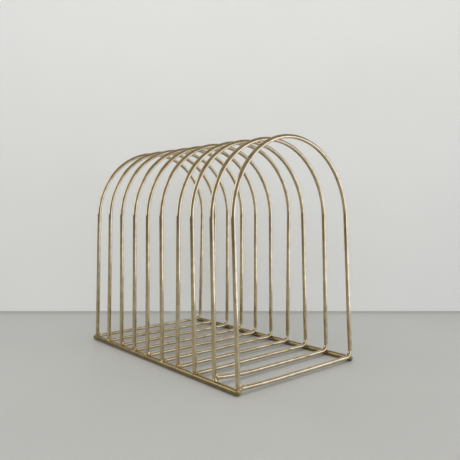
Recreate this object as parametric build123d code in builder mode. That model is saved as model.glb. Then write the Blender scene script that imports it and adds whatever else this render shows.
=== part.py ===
"""Photo album stand: ten arched wire loops standing in a row between two base rails.

Frame: X across the row, Y along the rails (front loop at -Y), Z up. The origin lies on the
surface that the stand rests on, under the middle of the rails. Millimetres and degrees.
"""

from build123d import *
import math
import os

# Wire stock
loop_wire = 4.0  # diameter of the wire that the loops are bent from
rail_wire = 5.0  # diameter of the two straight base rails

# One loop, bent from a single wire: bottom bar, one tight bend, right leg, round arch and left
# leg. The wire's two ends come together in a sharp corner at the left rail.
loop_width = 150.0  # over the outsides of the legs
loop_height = 212.4  # from under the bottom bar to the top of the arch
bend_radius = 7.5  # centreline of the bend between the bottom bar and the right leg

# Base rails: the right one lies in the outer lower corner of all the bends, the left one under
# the ends of the left legs
rail_length = 244.0
rail_end_round = 1.5  # the cut ends are tumbled round before plating
front_overhang = 1.5  # rail past the centre of the front loop
nest_angle = 41.0  # where a bend meets its rail, measured from straight down

# Welds: the fused metal between the wires
weld_gap = 0.2
weld_radius = 2.2  # bead between a bend and the right rail
corner_weld_radius = 3.0  # lump around the two wire ends at the left rail
corner_weld_rise = 0.9  # its middle above the bottom bar's centre

# The loops are set up by eye, so the row is a little uneven. Both lists run front to rear.
loop_gaps = [29.5, 27.0, 26.0, 25.0, 25.5, 24.5, 26.0, 27.0, 27.0]  # centre to centre
loop_leans = [2.5, 1.5, 1.75, -0.75, 0.5, -0.25, -0.5, -0.5, -1.5, -2.0]  # + is to the rear
bar_lifts = [1.2, 2.6, 0, 0, 0, 0, 0, 0, 0, 0]  # how far a bar's left end is bent up
bar_lift_x = -25.0  # where a lifted bar starts to rise

# Worked-out places
leg_x = (loop_width - loop_wire) / 2  # centre of a leg, which is also the arch's radius
arch_rise = loop_height - loop_wire - leg_x  # arch centre above the bottom bar's centre
bend_x = leg_x - bend_radius  # centre of a bend
nest_sine = math.sin(math.radians(nest_angle))
nest_cosine = math.cos(math.radians(nest_angle))
nest_reach = bend_radius + loop_wire / 2 + weld_gap + rail_wire / 2  # bend centre to rail centre
rail_x = bend_x + nest_reach * nest_sine
bar_z = rail_wire / 2 + nest_reach * nest_cosine - bend_radius  # centre of a bottom bar
weld_reach = bend_radius + (loop_wire + weld_gap) / 2  # bend centre to the middle of a weld
weld_x = bend_x + weld_reach * nest_sine
weld_rise = bend_radius - weld_reach * nest_cosine  # weld above the bottom bar's centre
bar_end_x = weld_gap + rail_wire / 2 - rail_x  # cut end of a bar, beside the left rail
corner_weld_x = bar_end_x - 2 * weld_gap
lift_run = bar_lift_x - bar_end_x
leg_end_rise = rail_wire + weld_gap - bar_z  # cut end of a left leg, on top of the left rail
first_loop_y = front_overhang - rail_length / 2


def loop_plane(loop_y, lean):
    """The plane that a loop lies in: local X across, local Y up along the leaning legs."""
    tilt = math.radians(lean)
    return Plane(
        origin=(0, loop_y, bar_z),
        x_dir=(1, 0, 0),
        z_dir=(0, -math.cos(tilt), math.sin(tilt)),
    )


def save(piece, name):
    piece.label = name
    export_step(piece, f"parts/{name}.step")


def make_rail(side):
    """A straight round rail with rounded ends, lying on the ground."""
    with BuildPart() as rail:
        start = Plane(origin=(side * rail_x, -rail_length / 2, rail_wire / 2), z_dir=(0, 1, 0))
        with BuildSketch(start):
            Circle(rail_wire / 2)
        extrude(amount=rail_length)
        fillet(rail.edges().filter_by(GeomType.CIRCLE), rail_end_round)
    return rail.part


def make_loop(plane, lift):
    """One wire from the left end of the bottom bar round to the foot of the left leg."""
    with BuildPart() as loop:
        with BuildLine(plane) as path:
            if lift:
                bar = Line((bar_lift_x, 0), (bend_x, 0))
                turn = 2 * math.atan(lift / lift_run)
                JernArc((bar_lift_x, 0), (-1, 0), lift_run / math.sin(turn), -math.degrees(turn))
            else:
                bar = Line((bar_end_x, 0), (bend_x, 0))
            bend = JernArc(bar @ 1, bar % 1, bend_radius, 90)
            leg = Line(bend @ 1, (leg_x, arch_rise))
            arch = JernArc(leg @ 1, leg % 1, leg_x, 180)
            Line(arch @ 1, (-leg_x, leg_end_rise))
        foot = plane.from_local_coords((-leg_x, leg_end_rise, 0))
        with BuildSketch(Plane(origin=foot, z_dir=plane.y_dir)):
            Circle(loop_wire / 2)
        sweep(path=path.line)
    return loop.part


def make_welds(plane, lift, loop, rails):
    """The two welds that hold a loop: round beads, cut to fit the loop and the rails."""
    with BuildPart() as welds:
        with Locations(plane.from_local_coords((weld_x, weld_rise, 0))):
            Sphere(weld_radius)
        corner = (corner_weld_x, corner_weld_rise + lift / 2, 0)
        with Locations(plane.from_local_coords(corner)):
            Sphere(corner_weld_radius)
        add([loop, *rails], mode=Mode.SUBTRACT)
    return welds.part


os.makedirs("parts", exist_ok=True)

rails = [make_rail(-1), make_rail(1)]
save(rails[0], "rail_left")
save(rails[1], "rail_right")

loop_y = first_loop_y
for number, (lean, lift) in enumerate(zip(loop_leans, bar_lifts), start=1):
    plane = loop_plane(loop_y, lean)
    loop = make_loop(plane, lift)
    save(loop, f"loop_{number:02d}")
    save(make_welds(plane, lift, loop, rails), f"welds_{number:02d}")
    if number <= len(loop_gaps):
        loop_y += loop_gaps[number - 1]
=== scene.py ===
import math

import bpy
import numpy as np
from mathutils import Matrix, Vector


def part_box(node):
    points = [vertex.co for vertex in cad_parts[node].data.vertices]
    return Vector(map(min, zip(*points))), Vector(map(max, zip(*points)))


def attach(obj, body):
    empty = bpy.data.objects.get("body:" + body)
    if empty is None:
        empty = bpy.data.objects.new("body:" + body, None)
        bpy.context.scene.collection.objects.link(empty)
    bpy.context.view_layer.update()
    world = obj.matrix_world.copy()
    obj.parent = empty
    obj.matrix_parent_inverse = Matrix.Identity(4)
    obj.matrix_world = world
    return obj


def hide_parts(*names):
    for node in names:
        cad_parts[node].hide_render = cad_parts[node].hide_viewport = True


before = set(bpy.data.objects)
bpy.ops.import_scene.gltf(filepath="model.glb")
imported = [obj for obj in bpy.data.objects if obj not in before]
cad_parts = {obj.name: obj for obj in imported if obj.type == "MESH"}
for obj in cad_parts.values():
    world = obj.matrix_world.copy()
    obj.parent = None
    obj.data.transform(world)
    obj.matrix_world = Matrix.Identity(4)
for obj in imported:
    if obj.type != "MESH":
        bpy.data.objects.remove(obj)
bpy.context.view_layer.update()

# Photo album stand: ten arched loops of brass-plated wire, welded across two base rails.
# Metres. X runs across the row, Y along the rails with the front loop at -Y, Z is up.

loopNames = sorted(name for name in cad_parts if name.startswith("loop_"))
railNames = ["rail_left", "rail_right"]
print("frame loaded:", len(loopNames), "loops,", len(railNames), "rails")


# measures read from the frame

reading = {
    "barSlice": 0.0025,  # how much of a loop, from its underside up, counts as its bottom bar
    "legMargin": 0.00005,  # points further than this from the left leg's side belong to the bar
    "barEndSlice": 0.0006,  # how much of the bar's cut end is measured
    "legEndSlice": 0.0003,  # and of the left leg's
}


def nodePoints(node):
    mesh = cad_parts[node].data
    points = np.empty(len(mesh.vertices) * 3)
    mesh.vertices.foreach_get("co", points)
    return points.reshape(-1, 3)


def middle(values):
    return (values.min() + values.max()) / 2


def barWidth(name):
    # across the lowest stretch of a loop, which is its bottom bar
    points = nodePoints(name)
    bar = points[points[:, 2] < points[:, 2].min() + reading["barSlice"]]
    return bar[:, 1].max() - bar[:, 1].min()


wireRadius = min(barWidth(name) for name in loopNames) / 2
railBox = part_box("rail_right")
railRadius = (railBox[1][2] - railBox[0][2]) / 2
railX = (railBox[0][0] + railBox[1][0]) / 2
railY = (railBox[0][1] + railBox[1][1]) / 2
railZ = (railBox[0][2] + railBox[1][2]) / 2
railLength = railBox[1][1] - railBox[0][1]


def readLoop(name):
    # a loop's plane, from the lowest and the highest stretch of the frame's wire, and its two cut
    # ends: the bar's, beside the left leg, and the left leg's own
    points = nodePoints(name)
    low, high = points[:, 2].min(), points[:, 2].max()
    foot = points[points[:, 2] < low + wireRadius]
    crown = points[points[:, 2] > high - wireRadius]
    start = Vector((0, middle(foot[:, 1]), low + wireRadius))
    end = Vector((0, middle(crown[:, 1]), high - wireRadius))
    legX = points[:, 0].max() - wireRadius
    lower = points[points[:, 2] < high / 4]
    legSide = wireRadius + reading["legMargin"] - legX
    leg = lower[lower[:, 0] < legSide]
    bar = lower[lower[:, 0] > legSide]
    legEnd = leg[leg[:, 2] < leg[:, 2].min() + reading["legEndSlice"]]
    barEnd = bar[bar[:, 0] < bar[:, 0].min() + reading["barEndSlice"]]
    return {
        "name": name,
        "start": np.array(start),
        "up": np.array((end - start).normalized()),
        "height": (end - start).length,
        "legX": legX,
        "barEnd": middle(barEnd[:, 0]),
        "lift": max(0.0, round(middle(barEnd[:, 2]) - start.z, 5)),
        "legEnd": middle(legEnd[:, 2]) - start.z,
    }


loops = [readLoop(name) for name in loopNames]


# meshes

def shell(name, rings, along, marks):
    # a skin over rings[i, j]: i runs along the piece, j round it, and each end closes on a pole.
    # wireUv holds the share of the way round and the distance along; marks holds point attributes
    count, around = rings.shape[:2]
    points = np.concatenate([rings.reshape(-1, 3), [rings[0].mean(0), rings[-1].mean(0)]])
    firstPole, lastPole, lastRing = count * around, count * around + 1, (count - 1) * around

    def faceCorners(*corners):
        # one corner of every face at a time, each a pair of arrays or numbers
        return np.stack([np.stack(np.broadcast_arrays(*corner), 1) for corner in corners], 1).reshape(-1, 2)

    i, j = np.meshgrid(np.arange(count - 1), np.arange(around), indexing="ij")
    i, j = i.ravel(), j.ravel()
    here, beside = i * around + j, i * around + (j + 1) % around
    quads = np.stack([here, beside, beside + around, here + around], 1)
    left, right = j / around, (j + 1) / around
    quadUv = faceCorners((left, along[i]), (right, along[i]), (right, along[i + 1]), (left, along[i + 1]))

    here = np.arange(around)
    beside = (here + 1) % around
    fans = np.concatenate([
        np.stack([beside, here, np.full(around, firstPole)], 1),
        np.stack([lastRing + here, lastRing + beside, np.full(around, lastPole)], 1)])
    left, centre, right = here / around, (here + 0.5) / around, (here + 1) / around
    fanUv = np.concatenate([
        faceCorners((right, along[0]), (left, along[0]), (centre, along[0])),
        faceCorners((left, along[-1]), (right, along[-1]), (centre, along[-1]))])

    corners = np.concatenate([quads.ravel(), fans.ravel()])
    sizes = np.repeat([4, 3], [len(quads), len(fans)])
    mesh = bpy.data.meshes.new(name)
    mesh.vertices.add(len(points))
    mesh.vertices.foreach_set("co", points.ravel())
    mesh.loops.add(len(corners))
    mesh.loops.foreach_set("vertex_index", corners.astype(np.int32))
    mesh.polygons.add(len(sizes))
    mesh.polygons.foreach_set("loop_start", (np.cumsum(sizes) - sizes).astype(np.int32))
    mesh.update(calc_edges=True)
    mesh.polygons.foreach_set("use_smooth", np.ones(len(sizes), dtype=bool))
    mesh.uv_layers.new(name="wireUv").data.foreach_set("uv", np.concatenate([quadUv, fanUv]).ravel())
    for mark, values in marks.items():
        values = np.concatenate([values, [values[:around].mean(), values[-around:].mean()]])
        mesh.attributes.new(mark, "FLOAT", "POINT").data.foreach_set("value", values)
    mesh.validate()
    piece = bpy.data.objects.new(name, mesh)
    bpy.context.scene.collection.objects.link(piece)
    return piece


def joinShells(name, parts):
    # several shells become one piece
    with bpy.context.temp_override(active_object=parts[0], selected_editable_objects=parts):
        bpy.ops.object.join()
    parts[0].name = name
    return parts[0]


wobble = {
    "waves": (1, 2, 3, 5, 8),  # whole waves in the length of a piece
    "fade": 0.7,  # the power by which the shorter ones weaken
}


def ripple(way, length, rng):
    # a smooth wobble: the sum of sines of whole numbers of waves, weaker as they get shorter
    waves = np.array(wobble["waves"])
    phase = rng.uniform(0, 2 * np.pi, len(waves))
    sines = np.sin(2 * np.pi * way[:, None] * waves / length + phase)
    return (sines / waves ** wobble["fade"]).sum(1) / 2


# where loops and rails meet

bendRadius = 0.0075  # centreline of the tight bend between the bottom bar and the right leg

weldForm = {
    "inset": 0.0004,  # middle of a left weld, back from the bar's cut end
    "rise": 0.0009,  # and up from it
    "blend": {-1: 0.0028, 1: 0.0021},  # width of the fillets, left and right
    "lump": {-1: 0.00035, 1: 0.00022},  # how far the fillets swell and sink
    "lumps": ((3, 2, 1.0), (5, 5, 0.6), (2, 3, 0.8)),  # waves round a weld, waves up it, and their weight
    "nearest": 0.0001,  # where the search along a ray starts
    "reach": {-1: 0.0046, 1: 0.0034},  # and where it ends
    "samples": 90,
    "sink": 0.00004,  # outside the fillet the skin stays this far under the wires
    "rows": 46,
    "columns": 64,
    "heat": {-1: 0.15, 1: 1.0},  # the right-hand welds are tinted near black as painted shade of the crevice under the bend; the left ones keep a light heat tint
    "heatReach": 0.0055,  # how far the heat of a weld has tinted the wires
    "grain": 0.003,  # metres of drawing marks for each radian of tilt
    "seed": 500,
}


def jointsOf(loop):
    # left: between the two cut ends and the rail. Right: between bend and rail, on the line from
    # the bend's centre to the rail's
    across, up = np.array([1.0, 0, 0]), loop["up"]
    corner = loop["start"] + across * (loop["barEnd"] - weldForm["inset"])
    corner = corner + up * (weldForm["rise"] + loop["lift"] / 2)
    bend = loop["start"] + up * bendRadius + across * (loop["legX"] - bendRadius)
    line = np.array([railX, bend[1], railZ]) - bend
    reach = np.linalg.norm(line)
    touch = bend + line / reach * (bendRadius + wireRadius + reach - railRadius) / 2
    return [{"side": -1, "middle": corner}, {"side": 1, "middle": touch, "bend": bend}]


joints = {loop["name"]: jointsOf(loop) for loop in loops}
jointPoints = np.array([place["middle"] for places in joints.values() for place in places])


def nearJoint(points, reach):
    # 1 at a weld, falling off as a bell curve with the distance to the nearest one
    apart = np.linalg.norm(points[:, None, :] - jointPoints[None, :, :], axis=2).min(1)
    return np.exp(-(apart / reach) ** 2)


# loops

loopForm = {
    "liftFrom": -0.025,  # where a bar starts to rise if its left end is bent up
    "cutRound": 0.0004,  # radius left on the rims of the two cut ends
    "cutSteps": 6,
    "around": 40,  # points round the wire
    "straightStep": 0.0016,
    "bendSteps": 26,
    "archSteps": 200,
    "wander": (0.00010, 0.00020),  # how far the wire strays in its plane and sideways
    "calm": 0.02,  # the wire is held true this near to its welds
    "flatten": 0.035,  # a tight bend leaves the wire this much thinner across the bend
    "widen": 0.6,  # and this share of it wider the other way
    "flattenSpread": 0.0015,  # how far the flattening runs on past the bend
    "polishSpread": 0.002,  # and the bend's polish
    "seed": 100,
}


def straightRun(length, turn=0.0):
    # a run's length, its turn, and as many steps as its length needs
    return length, turn, max(2, round(length / loopForm["straightStep"]))


def loopWay(loop):
    # runs from the bar's cut end round to the leg's, each a length, a turn and a number of steps:
    # heading is the running sum of the turns, and each step is the chord of its own small arc
    leg, cut, quarter = loop["legX"], loopForm["cutRound"], math.pi / 2
    rim = (cut, 0.0, loopForm["cutSteps"])
    bar, dip = leg - bendRadius - loop["barEnd"], 0.0
    firstRuns = [straightRun(bar - cut)]
    if loop["lift"]:
        rise = loopForm["liftFrom"] - loop["barEnd"]
        dip = 2 * math.atan(loop["lift"] / rise)
        firstRuns = [straightRun(rise * dip / math.sin(dip) - cut, dip), straightRun(bar - rise)]
    runs = np.array([
        rim, *firstRuns,
        (bendRadius * quarter, quarter, loopForm["bendSteps"]),
        straightRun(loop["height"] - leg - bendRadius),
        (leg * math.pi, math.pi, loopForm["archSteps"]),
        straightRun(loop["height"] - leg - loop["legEnd"] - cut), rim])
    steps = runs[:, 2].astype(int)
    stepLength = np.repeat(runs[:, 0] / steps, steps)
    stepTurn = np.repeat(runs[:, 1] / steps, steps)
    tight = np.repeat(np.where(runs[:, 1] == quarter, 1.0, 0.0), steps)
    heading = np.cumsum(stepTurn) - stepTurn - dip
    chord = stepLength * np.sinc(stepTurn / 2 / math.pi)
    moves = np.stack([chord * np.cos(heading + stepTurn / 2), chord * np.sin(heading + stepTurn / 2)], 1)
    place = np.concatenate([[[0, 0]], np.cumsum(moves, 0)]) + [loop["barEnd"], loop["lift"]]
    way = np.concatenate([[0], np.cumsum(stepLength)])
    return place, np.append(heading, heading[-1]), way, np.append(tight, 0)


def soften(values, way, reach):
    # spreads a 0-1 mask along a way
    weight = np.exp(-((way[:, None] - way[None, :]) / reach) ** 2)
    return (weight * values).sum(1) / weight.sum(1)


def makeLoop(loop, number):
    # a round profile carried along the loop's outline, straying a little and flattened in the bends
    rng = np.random.default_rng(loopForm["seed"] + number)
    place, heading, way, tight = loopWay(loop)
    length = way[-1]
    across, up = np.array([1.0, 0, 0]), loop["up"]
    out = np.sin(heading)[:, None] * across - np.cos(heading)[:, None] * up
    side = np.cross(up, across)
    centre = loop["start"] + place[:, :1] * across + place[:, 1:] * up
    calm = 1 - nearJoint(centre, loopForm["calm"])
    wanderOut, wanderSide = loopForm["wander"]
    centre = centre + (calm * ripple(way, length, rng) * wanderOut)[:, None] * out
    centre = centre + (calm * ripple(way, length, rng) * wanderSide)[:, None] * side
    turn = 2 * np.pi * np.arange(loopForm["around"]) / loopForm["around"]
    bent = soften(tight, way, loopForm["flattenSpread"])[:, None] * loopForm["flatten"]
    # at a cut end the rim falls away as a quarter round
    inside = np.minimum(np.minimum(way, length - way) / loopForm["cutRound"], 1)
    size = (wireRadius - loopForm["cutRound"] * (1 - np.sqrt(1 - (1 - inside) ** 2)))[:, None]
    inPlane = (size * (1 - bent) * np.cos(turn))[:, :, None] * out[:, None, :]
    offPlane = (size * (1 + bent * loopForm["widen"]) * np.sin(turn))[:, :, None] * side
    rings = centre[:, None, :] + inPlane + offPlane
    marks = {
        "heat": nearJoint(rings.reshape(-1, 3), weldForm["heatReach"]),
        "bent": np.repeat(soften(tight, way, loopForm["polishSpread"]), len(turn)),
    }
    piece = shell(f"loop_wire_{number:02d}", rings, way, marks)
    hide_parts(loop["name"])
    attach(piece, "root")
    return piece


# rails

railForm = {
    "around": 44,
    "endRound": 0.0015,  # radius of the tumbled ends
    "endSteps": 10,
    "faceRings": (0.15, 0.90, 4),  # rings on an end's flat: the first, the last and how many
    "step": 0.0014,
    "wander": 0.00007,
    "cutSlope": 0.0002,  # the shears leave each end a little out of square
    "slopeSpread": 0.003,  # how far in from the end that is felt
    "polishSpread": 0.0015,
    "seed": 300,
}


def makeRail(name, number):
    # a radius that follows the distance from the end: flat end, quarter round, straight side
    rng = np.random.default_rng(railForm["seed"] + number)
    low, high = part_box(name)
    radius, endRound = (high[2] - low[2]) / 2, railForm["endRound"]
    side = (low[0] + high[0]) / 2
    length = high[1] - low[1]
    corner = np.linspace(0, np.pi / 2, railForm["endSteps"])
    ending = endRound * (1 - np.cos(corner))
    endRadius = radius - endRound * (1 - np.sin(corner))
    face = np.linspace(*railForm["faceRings"]) * (radius - endRound)
    steps = round((length - 2 * endRound) / railForm["step"])
    straight = np.linspace(endRound, length - endRound, steps)[1:-1]
    way = np.concatenate([
        np.zeros_like(face), ending, straight, length - ending[::-1], np.full_like(face, length)])
    size = np.concatenate([face, endRadius, np.full_like(straight, radius), endRadius[::-1], face[::-1]])
    toEnd = np.minimum(way, length - way)
    turn = -2 * np.pi * np.arange(railForm["around"]) / railForm["around"]
    stray = ripple(way, length, rng) * railForm["wander"]
    x = side + stray[:, None] + size[:, None] * np.cos(turn)
    z = (low[2] + high[2]) / 2 + size[:, None] * np.sin(turn)
    slope = railForm["cutSlope"] * np.exp(-(toEnd / railForm["slopeSpread"]) ** 2)[:, None]
    y = low[1] + way[:, None] + slope * np.cos(turn + number) * size[:, None] / radius
    rings = np.stack([x, np.clip(y, low[1], high[1]), z], 2)
    marks = {
        "heat": nearJoint(rings.reshape(-1, 3), weldForm["heatReach"]),
        "bent": np.repeat(np.exp(-(toEnd / railForm["polishSpread"]) ** 2), len(turn)),
    }
    piece = shell(name + "_rod", rings, way, marks)
    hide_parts(name)
    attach(piece, "root")
    return piece


# welds

def rodGap(off, beyond):
    # distance to a rod that ends, from that to its side and that past its end
    return np.hypot(np.maximum(off, 0), np.maximum(beyond, 0)) + np.minimum(np.maximum(off, beyond), 0)


def fuse(first, second, width):
    # the smooth union of two distances, and how much of it is fillet: 1 midway between the two
    share = np.clip(0.5 + (second - first) / width / 2, 0, 1)
    fillet = share * (1 - share)
    return second + (first - second) * share - width * fillet, 4 * fillet


def wireGap(points, place, loop):
    # right: distance to a quarter ring with a straight at each end. Left: to the ends of leg and bar
    local = points - place.get("bend", loop["start"])
    rise = local @ loop["up"]
    off = local @ np.cross(loop["up"], np.array([1.0, 0, 0]))
    if place["side"] > 0:
        inPlane = np.hypot(np.maximum(local[..., 0], 0), np.maximum(-rise, 0)) - bendRadius
        return np.hypot(inPlane, off) - wireRadius, 0.0
    leg = rodGap(np.hypot(local[..., 0] + loop["legX"], off) - wireRadius, loop["legEnd"] - rise)
    bar = rodGap(np.hypot(rise - loop["lift"], off) - wireRadius, loop["barEnd"] - local[..., 0])
    return fuse(leg, bar, weldForm["blend"][-1])


def railGap(points, place):
    # distance to a rounded rod: that of its section and of its length, shrunk by the end's radius
    # and grown again
    across = np.hypot(points[..., 0] - place["side"] * railX, points[..., 2] - railZ) - railRadius
    beyond = np.abs(points[..., 1] - railY) - railLength / 2
    across, beyond = across + railForm["endRound"], beyond + railForm["endRound"]
    outside = np.hypot(np.maximum(across, 0), np.maximum(beyond, 0))
    return outside + np.minimum(np.maximum(across, beyond), 0) - railForm["endRound"]


def globe(rows, columns):
    # tilt from pole to pole without the poles, turn round them, and the directions that they give
    tilt = np.linspace(0, np.pi, rows + 2)[1:-1]
    turn = 2 * np.pi * np.arange(columns) / columns
    ringOut = np.sin(tilt)[:, None]
    rays = np.stack([ringOut * np.cos(turn), ringOut * np.sin(turn), -np.cos(tilt)[:, None] + 0 * turn], 2)
    return tilt, turn, rays


def makeWeld(name, place, loop, rng):
    # the smooth union of loop and rail, found along rays from the middle of the joint:
    # the skin lies where the blended distance first rises through zero
    side = place["side"]
    tilt, turn, rays = globe(weldForm["rows"], weldForm["columns"])
    reach = np.linspace(weldForm["nearest"], weldForm["reach"][side], weldForm["samples"])
    points = place["middle"] + rays[:, :, None, :] * reach[:, None]
    loopGap, cornerFillet = wireGap(points, place, loop)
    gap, fillet = fuse(loopGap, railGap(points, place), weldForm["blend"][side])
    shift = rng.uniform(0, 2 * np.pi, (3, 2))
    lumps = sum(
        np.sin(wavesRound * turn + shift[k, 0]) * np.sin(wavesUp * tilt + shift[k, 1])[:, None] * weight
        for k, (wavesRound, wavesUp, weight) in enumerate(weldForm["lumps"]))
    swell = weldForm["lump"][side] * lumps[:, :, None] * np.maximum(fillet, cornerFillet)
    gap = gap + weldForm["sink"] - swell
    outside = gap > 0
    first = np.where(outside.any(2), outside.argmax(2), weldForm["samples"] - 1)
    before = np.maximum(first - 1, 0)
    row, column = np.indices(first.shape)
    high, low = gap[row, column, first], gap[row, column, before]
    tiny = 1e-9  # keeps the share finite where the two distances are the same
    share = np.where(high > 0, -low / np.maximum(high - low, tiny), 1.0)
    radius = reach[before] + (reach[first] - reach[before]) * np.clip(share, 0, 1)
    rings = place["middle"] + rays * radius[:, :, None]
    # on the right-hand welds the full heat value paints the shade of the crevice under the bend
    marks = {"heat": np.full(radius.size, weldForm["heat"][side]), "bent": np.ones(radius.size)}
    return shell(name, rings, tilt * weldForm["grain"], marks)


def makeWelds(loop, number):
    # a loop's left and right weld, as one piece
    rng = np.random.default_rng(weldForm["seed"] + number)
    parts = [makeWeld(f"weld_{number:02d}_{side}", place, loop, rng)
             for side, place in enumerate(joints[loop["name"]])]
    piece = joinShells(f"weld_metal_{number:02d}", parts)
    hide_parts(f"welds_{number:02d}")
    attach(piece, "root")
    return piece


# spatter

spatterForm = {
    "radius": 0.0009,
    "squat": 0.8,  # its height as a share of its width
    "lopsided": (0.12, 0.08),  # how far its outline from above and its side view stray from round
    "lean": 35,  # degrees from straight up, towards the inside of the row
    "between": (0, 1),  # halfway between the two front loops
    "heat": 0.4,
    "rows": 20,
    "columns": 28,
}


def makeSpatter():
    # one frozen drop of weld metal on the left rail: a squat ball whose radius strays with a sine
    # round it and a cosine up it
    first, second = (loops[k]["start"][1] for k in spatterForm["between"])
    lean = math.radians(spatterForm["lean"])
    away = np.array([math.sin(lean), 0, math.cos(lean)])
    foot = np.array([-railX, (first + second) / 2, railZ]) + away * railRadius
    tilt, turn, rays = globe(spatterForm["rows"], spatterForm["columns"])
    strayRound, strayUp = spatterForm["lopsided"]
    oval = strayRound * np.sin(2 * turn + 1) * np.sin(tilt)[:, None]
    size = spatterForm["radius"] * (1 + oval + strayUp * np.cos(3 * tilt)[:, None])
    rings = foot + rays * size[:, :, None] * np.array([1, 1, spatterForm["squat"]])
    marks = {"heat": np.full(size.size, spatterForm["heat"]), "bent": np.zeros(size.size)}
    piece = shell("spatter_drop", rings, tilt * spatterForm["radius"], marks)
    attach(piece, "root")
    return piece


# shader maths

class Value:
    # a socket that can be added, multiplied and so on, each of which adds a Math node
    def __init__(self, tree, socket=None):
        self.tree = tree
        self.socket = socket

    def node(self, kind, settings, inputs, output=0):
        # any node: its settings first, then the values or links of its sockets
        made = self.tree.nodes.new(kind)
        for name, value in settings.items():
            setattr(made, name, value)
        for key, value in inputs.items():
            if isinstance(value, Value):
                self.tree.links.new(value.socket, made.inputs[key])
            else:
                made.inputs[key].default_value = value
        return Value(self.tree, made.outputs[output])

    def math(self, operation, *values):
        return self.node("ShaderNodeMath", {"operation": operation}, dict(enumerate(values)))

    def __add__(self, other):
        return self.math("ADD", self, other)

    __radd__ = __add__

    def __sub__(self, other):
        return self.math("SUBTRACT", self, other)

    def __rsub__(self, other):
        return self.math("SUBTRACT", other, self)

    def __mul__(self, other):
        return self.math("MULTIPLY", self, other)

    __rmul__ = __mul__

    def clamped(self):
        return self.math("MINIMUM", self.math("MAXIMUM", self, 0.0), 1.0)

    def step(self, low, high):
        # 0 below low, 1 above high, smooth between
        return self.node("ShaderNodeMapRange", {"interpolation_type": "SMOOTHSTEP"},
                         {"Value": self, "From Min": low, "From Max": high, "To Min": 0.0, "To Max": 1.0})

    def noise(self, where, scale, detail=2.0, roughness=0.5):
        return self.node("ShaderNodeTexNoise", {"noise_dimensions": "3D"},
                         {"Vector": where, "Scale": scale, "Detail": detail, "Roughness": roughness})

    def blend(self, colourA, colourB):
        # colourA where this value is 0, colourB where it is 1; 6, 7 and 2 are the colour sockets
        return self.node("ShaderNodeMix", {"data_type": "RGBA"}, {0: self, 6: colourA, 7: colourB}, 2)


def startMaterial(name):
    # a new material, its shader, and a value to start expressions from
    material = bpy.data.materials.new(name)
    material.use_nodes = True
    tree = material.node_tree
    shader = tree.nodes["Principled BSDF"]
    return material, shader, Value(tree)


def link(value, socket):
    value.tree.links.new(value.socket, socket)


def makeBrass(name, look):
    material, shader, shade = startMaterial(name)
    place = shade.node("ShaderNodeTexCoord", {}, {}, "Object")
    uv = shade.node("ShaderNodeUVMap", {"uv_map": "wireUv"}, {})
    turn = shade.node("ShaderNodeSeparateXYZ", {}, {"Vector": uv}, "X") * (2 * math.pi)
    along = shade.node("ShaderNodeSeparateXYZ", {}, {"Vector": uv}, "Y")
    heat = shade.node("ShaderNodeAttribute", {"attribute_name": "heat"}, {}, "Fac")
    bent = shade.node("ShaderNodeAttribute", {"attribute_name": "bent"}, {}, "Fac")

    # drawing marks: noise that is fine round the wire and long along it
    roundX = shade.math("COSINE", turn) * look["radius"]
    roundY = shade.math("SINE", turn) * look["radius"]
    stretched = along * look["markStretch"]
    drawn = shade.node("ShaderNodeCombineXYZ", {}, {"X": roundX, "Y": roundY, "Z": stretched})
    marks = shade.noise(drawn, look["markScale"], detail=4.0, roughness=0.65)
    pits = shade.noise(place, look["pitScale"])
    mottle = shade.noise(place, look["mottleScale"], detail=4.0, roughness=0.6)
    cloud = shade.noise(place, look["cloudScale"])

    # colour: pale plating, clouded with brown, warmer and darker where it was heated by the weld; on the
    # right-hand welds this darkening is painted shade of the crevice under the bend
    body = mottle.step(*look["mottleFrom"]).blend(look["pale"], look["deep"])
    warmed = (heat * look["heatColour"] + (cloud - 0.5) * look["cloudColour"]).clamped()
    tarnished = warmed.blend(body, look["burnt"])
    pitted = pits.step(*look["pitFrom"]) * look["pitColour"]
    colour = pitted.blend(tarnished, look["pit"])
    link(colour, shader.inputs["Base Color"])

    rough = (marks - 0.5) * look["markRough"] + (mottle - 0.5) * look["mottleRough"]
    rough = rough + look["rough"] + heat * look["heatRough"] + bent * look["bentRough"]
    link(rough.clamped(), shader.inputs["Roughness"])

    height = marks * look["markDepth"] + pits.step(*look["pitEdge"]) * (-look["pitDepth"])
    height = height + shade.noise(place, look["lumpScale"]) * heat * look["lumpDepth"]
    bump = shade.node("ShaderNodeBump", {}, {"Strength": 1.0, "Distance": 1.0, "Height": height})
    link(bump, shader.inputs["Normal"])
    shader.inputs["Metallic"].default_value = 1.0
    shader.inputs["Coat Weight"].default_value = look["coat"]
    shader.inputs["Coat Roughness"].default_value = look["coatRough"]
    return material


# scales are in noise cells to the metre and depths in metres; a pair says where a noise starts to
# count and where it counts in full
brassLook = {
    "radius": wireRadius,
    "pale": (0.62, 0.51, 0.315, 1),
    "deep": (0.48, 0.375, 0.205, 1),
    "burnt": (0.36, 0.25, 0.12, 1),
    "pit": (0.22, 0.16, 0.08, 1),
    "markScale": 5200, "markStretch": 0.012, "markRough": 0.10, "markDepth": 0.0000035,
    "pitScale": 1900, "pitDepth": 0.000004, "pitEdge": (0.60, 0.75),
    "pitColour": 0.25, "pitFrom": (0.64, 0.74),
    "mottleScale": 140, "mottleRough": 0.10, "mottleFrom": (0.35, 0.68),
    "cloudScale": 22, "cloudColour": 0.5,
    "heatColour": 0.35, "heatRough": 0.05, "bentRough": -0.02,
    "lumpScale": 1400, "lumpDepth": 0.00004,
    "rough": 0.075, "coat": 0.5, "coatRough": 0.05,
}
railLook = {
    **brassLook,
    "radius": railRadius,
    "pale": (0.30, 0.225, 0.095, 1),
    "deep": (0.22, 0.16, 0.06, 1),
    "rough": 0.24, "coat": 0.1,
}
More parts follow.
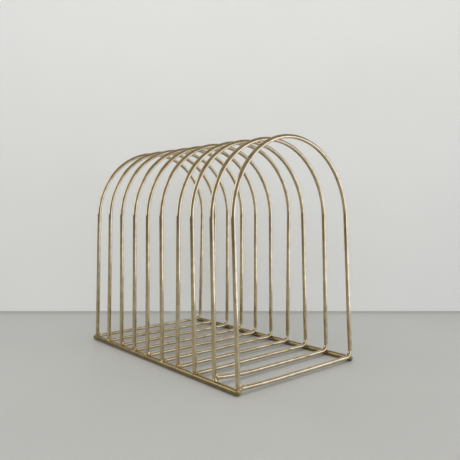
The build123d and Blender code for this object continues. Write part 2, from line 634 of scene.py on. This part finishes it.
weldLook = {
    **brassLook,
    "pale": (0.60, 0.46, 0.24, 1),
    "deep": (0.48, 0.35, 0.16, 1),
    # burnt, at full strength on the right-hand welds, is painted shade of the crevice under the bend
    "burnt": (0.13, 0.09, 0.04, 1),
    "heatColour": 0.75, "rough": 0.18, "coat": 0.2,
}


# camera

cameraForm = {
    "azimuth": 40.991,  # degrees, from the row's own direction towards its right
    "pitch": 0.016,  # degrees above level
    "lens": 41.562,
    "sensor": 36,
    "shift": -0.05,
    "clip": (0.01, 20),
    "place": (-0.35283, -0.43273, 0.14920),  # before the row and left of it, two thirds of its height up
}


def makeCamera():
    data = bpy.data.cameras.new("camera")
    data.lens = cameraForm["lens"]
    data.sensor_width = cameraForm["sensor"]
    data.shift_y = cameraForm["shift"]
    data.clip_start, data.clip_end = cameraForm["clip"]
    camera = bpy.data.objects.new("camera", data)
    camera.location = cameraForm["place"]
    camera.rotation_euler = (
        math.radians(90 + cameraForm["pitch"]), 0, -math.radians(cameraForm["azimuth"]))
    bpy.context.scene.collection.objects.link(camera)
    bpy.context.scene.camera = camera
    return camera


# stage

def faced(right, ahead, up):
    # a place given as the camera faces the stand, turned into the frame
    turn = math.radians(cameraForm["azimuth"])
    return Vector((right * math.cos(turn) + ahead * math.sin(turn),
                   ahead * math.cos(turn) - right * math.sin(turn), up))


stageForm = {
    "wallAway": 0.747,  # from the camera, square to its view
    "floorSize": 6.0,
    "wallHeight": 3.0,
    "mirrored": (0.40, 0.40),  # half width and height of the stretch of wall that the metal mirrors
    "seamHeight": 0.0032,
    "grainFrom": (0.3, 0.7),
    "floor": ((0.385, 0.392, 0.386, 1), (0.40, 0.407, 0.40, 1)),
    "floorGrain": 6.0,
    "floorRough": (0.30, 0.05),  # its middle, and how much it varies
    "floorIor": 1.45,
    "floorShine": 0.15,
    "wall": (0.745, 0.76, 0.775),
    "seam": (0.46, 0.46, 0.455),
    # the seam colour paints the shadow line where wall meets floor
    "wallGrain": 4.0,
    "wallDarker": 0.97,  # the other end of the wall's mottling
    "wallRough": 0.9,
}


def flatPiece(name, corners, material):
    # one flat face through its corners
    mesh = bpy.data.meshes.new(name)
    mesh.from_pydata([tuple(c) for c in corners], [], [tuple(range(len(corners)))])
    piece = bpy.data.objects.new(name, mesh)
    piece.data.materials.append(material)
    bpy.context.scene.collection.objects.link(piece)
    return piece


def makeFloorMaterial():
    material, shader, shade = startMaterial("floor_paint")
    place = shade.node("ShaderNodeTexCoord", {}, {}, "Object")
    grain = shade.noise(place, stageForm["floorGrain"], detail=3.0)
    rough, varies = stageForm["floorRough"]
    link(grain.step(*stageForm["grainFrom"]).blend(*stageForm["floor"]), shader.inputs["Base Color"])
    link(rough + (grain - 0.5) * varies, shader.inputs["Roughness"])
    shader.inputs["IOR"].default_value = stageForm["floorIor"]
    shader.inputs["Specular IOR Level"].default_value = stageForm["floorShine"]
    return material


def makeWallMaterial(name, colour):
    # one-sided, so that views from behind look through it
    material, shader, shade = startMaterial(name)
    place = shade.node("ShaderNodeTexCoord", {}, {}, "Object")
    grain = shade.noise(place, stageForm["wallGrain"], detail=3.0)
    pale = (*colour, 1)
    darker = (*(c * stageForm["wallDarker"] for c in colour), 1)
    link(grain.step(*stageForm["grainFrom"]).blend(pale, darker), shader.inputs["Base Color"])
    shader.inputs["Roughness"].default_value = stageForm["wallRough"]
    behind = shade.node("ShaderNodeNewGeometry", {}, {}, "Backfacing")
    clear = shade.node("ShaderNodeBsdfTransparent", {}, {})
    paint = Value(shade.tree, shader.outputs["BSDF"])
    both = shade.node("ShaderNodeMixShader", {}, {0: behind, 1: paint, 2: clear})
    link(both, shade.tree.nodes["Material Output"].inputs["Surface"])
    return material


def makeStage(camera):
    # the floor, and the wall square to the camera in pieces: the metal mirrors the middle one only
    size = stageForm["floorSize"] / 2
    flatPiece("floor", [(-size, -size, 0), (size, -size, 0), (size, size, 0), (-size, size, 0)],
              makeFloorMaterial())
    turn = math.radians(cameraForm["azimuth"])
    place = camera.location
    away = place.x * math.sin(turn) + place.y * math.cos(turn) + stageForm["wallAway"]
    seamTop, wallTop = stageForm["seamHeight"], stageForm["wallHeight"]
    near, nearTop = stageForm["mirrored"]
    paint = makeWallMaterial("wall_paint", stageForm["wall"])
    shadowStrip = makeWallMaterial("seam_painted_shadow", stageForm["seam"])

    def upright(name, left, right, low, high, material):
        return flatPiece(name, [faced(left, away, low), faced(right, away, low),
                                faced(right, away, high), faced(left, away, high)], material)

    # a grey strip at the wall's foot: painted shadow line where wall meets floor
    upright("wall_seam_painted_shadow", -size, size, 0, seamTop, shadowStrip)
    upright("wall", -near, near, seamTop, nearTop, paint)
    upright("wall_left", -size, -near, seamTop, wallTop, paint).visible_glossy = False
    upright("wall_right", near, size, seamTop, wallTop, paint).visible_glossy = False
    upright("wall_above", -near, near, nearTop, wallTop, paint).visible_glossy = False


roomForm = {
    "dim": (0.22, 0.19, 0.14, 1),  # what the metal sees of the room's unlit sides
    "upper": (0.34, 0.31, 0.25, 1),
    "upperFrom": (0.08, 0.40),  # the sine of the height where the upper tone starts and is full
    "backdrop": (0.60, 0.605, 0.585, 1),  # the same room as the camera sees it
    "sky": (0.68, 0.65, 0.59, 1),  # and as it lights the floor
}

# right, ahead and up are metres from the middle of the stand, as the camera faces it
lightForm = {
    "ceiling": {"right": 0.08, "ahead": -0.1, "up": 1.4, "aim": (0.0, 0.1, 0.0), "size": (1.8, 1.8),
                "power": 16.5, "colour": (1.0, 1.0, 0.99), "hidden": ("glossy", "camera")},
    "front": {"right": -0.2, "ahead": -1.6, "up": 0.9, "aim": (0.0, 0.2, 0.25), "size": (1.2, 1.2),
              "power": 8.5, "colour": (1.0, 1.0, 0.98), "hidden": ("glossy", "camera")},
    "rightCard": {"right": 0.45, "ahead": -0.38, "up": 0.14, "aim": (0.0, -0.38, 0.14), "size": (1.14, 0.28),
                  "power": 1.4, "colour": (0.87, 1.0, 1.40), "hidden": ("diffuse", "camera")},
    "leftCard": {"right": -0.5, "ahead": -0.05, "up": 0.38, "aim": (0.0, -0.05, 0.25), "size": (0.48, 0.48),
                 "power": 1.1, "colour": (0.90, 1.0, 1.28), "hidden": ("diffuse", "camera")},
}


def makeLight(name, form):
    # ceiling and front light what is matt, and the metal mirrors only the two cards beside the stand
    data = bpy.data.lights.new(name, "AREA")
    data.shape = "RECTANGLE"
    data.size, data.size_y = form["size"]
    data.energy = form["power"]
    data.color = form["colour"]
    lamp = bpy.data.objects.new(name, data)
    lamp.location = faced(form["right"], form["ahead"], form["up"])
    lamp.rotation_euler = (faced(*form["aim"]) - lamp.location).to_track_quat("-Z", "Y").to_euler()
    for ray in form["hidden"]:
        setattr(lamp, "visible_" + ray, False)
    bpy.context.scene.collection.objects.link(lamp)


def makeWorld():
    # a dim warm room for the metal to mirror, pale where the camera looks straight at it and where
    # it lights the floor
    world = bpy.data.worlds.new("room")
    world.use_nodes = True
    tree = world.node_tree
    shade = Value(tree)
    direction = shade.node("ShaderNodeTexCoord", {}, {}, "Generated")
    height = shade.node("ShaderNodeSeparateXYZ", {}, {"Vector": direction}, "Z")
    room = height.step(*roomForm["upperFrom"]).blend(roomForm["dim"], roomForm["upper"])
    mirrored = shade.node("ShaderNodeLightPath", {}, {}, "Is Glossy Ray")
    seen = shade.node("ShaderNodeLightPath", {}, {}, "Is Camera Ray")
    around = mirrored.blend(roomForm["sky"], room)
    link(seen.blend(around, roomForm["backdrop"]), tree.nodes["Background"].inputs["Color"])
    bpy.context.scene.world = world
    bpy.context.scene.view_settings.view_transform = "Standard"


# build

camera = makeCamera()
makeStage(camera)
for lightName, lightValues in lightForm.items():
    makeLight(lightName, lightValues)
makeWorld()
print("stage ready")

wireBrass = makeBrass("loop_brass", brassLook)
railBrass = makeBrass("rail_brass", railLook)
weldBrass = makeBrass("weld_brass", weldLook)

for number, loop in enumerate(loops, start=1):
    makeLoop(loop, number).data.materials.append(wireBrass)
print("loops made")
for number, name in enumerate(railNames):
    makeRail(name, number).data.materials.append(railBrass)
print("rails made")
for number, loop in enumerate(loops, start=1):
    makeWelds(loop, number).data.materials.append(weldBrass)
makeSpatter().data.materials.append(weldBrass)
print("welds made")
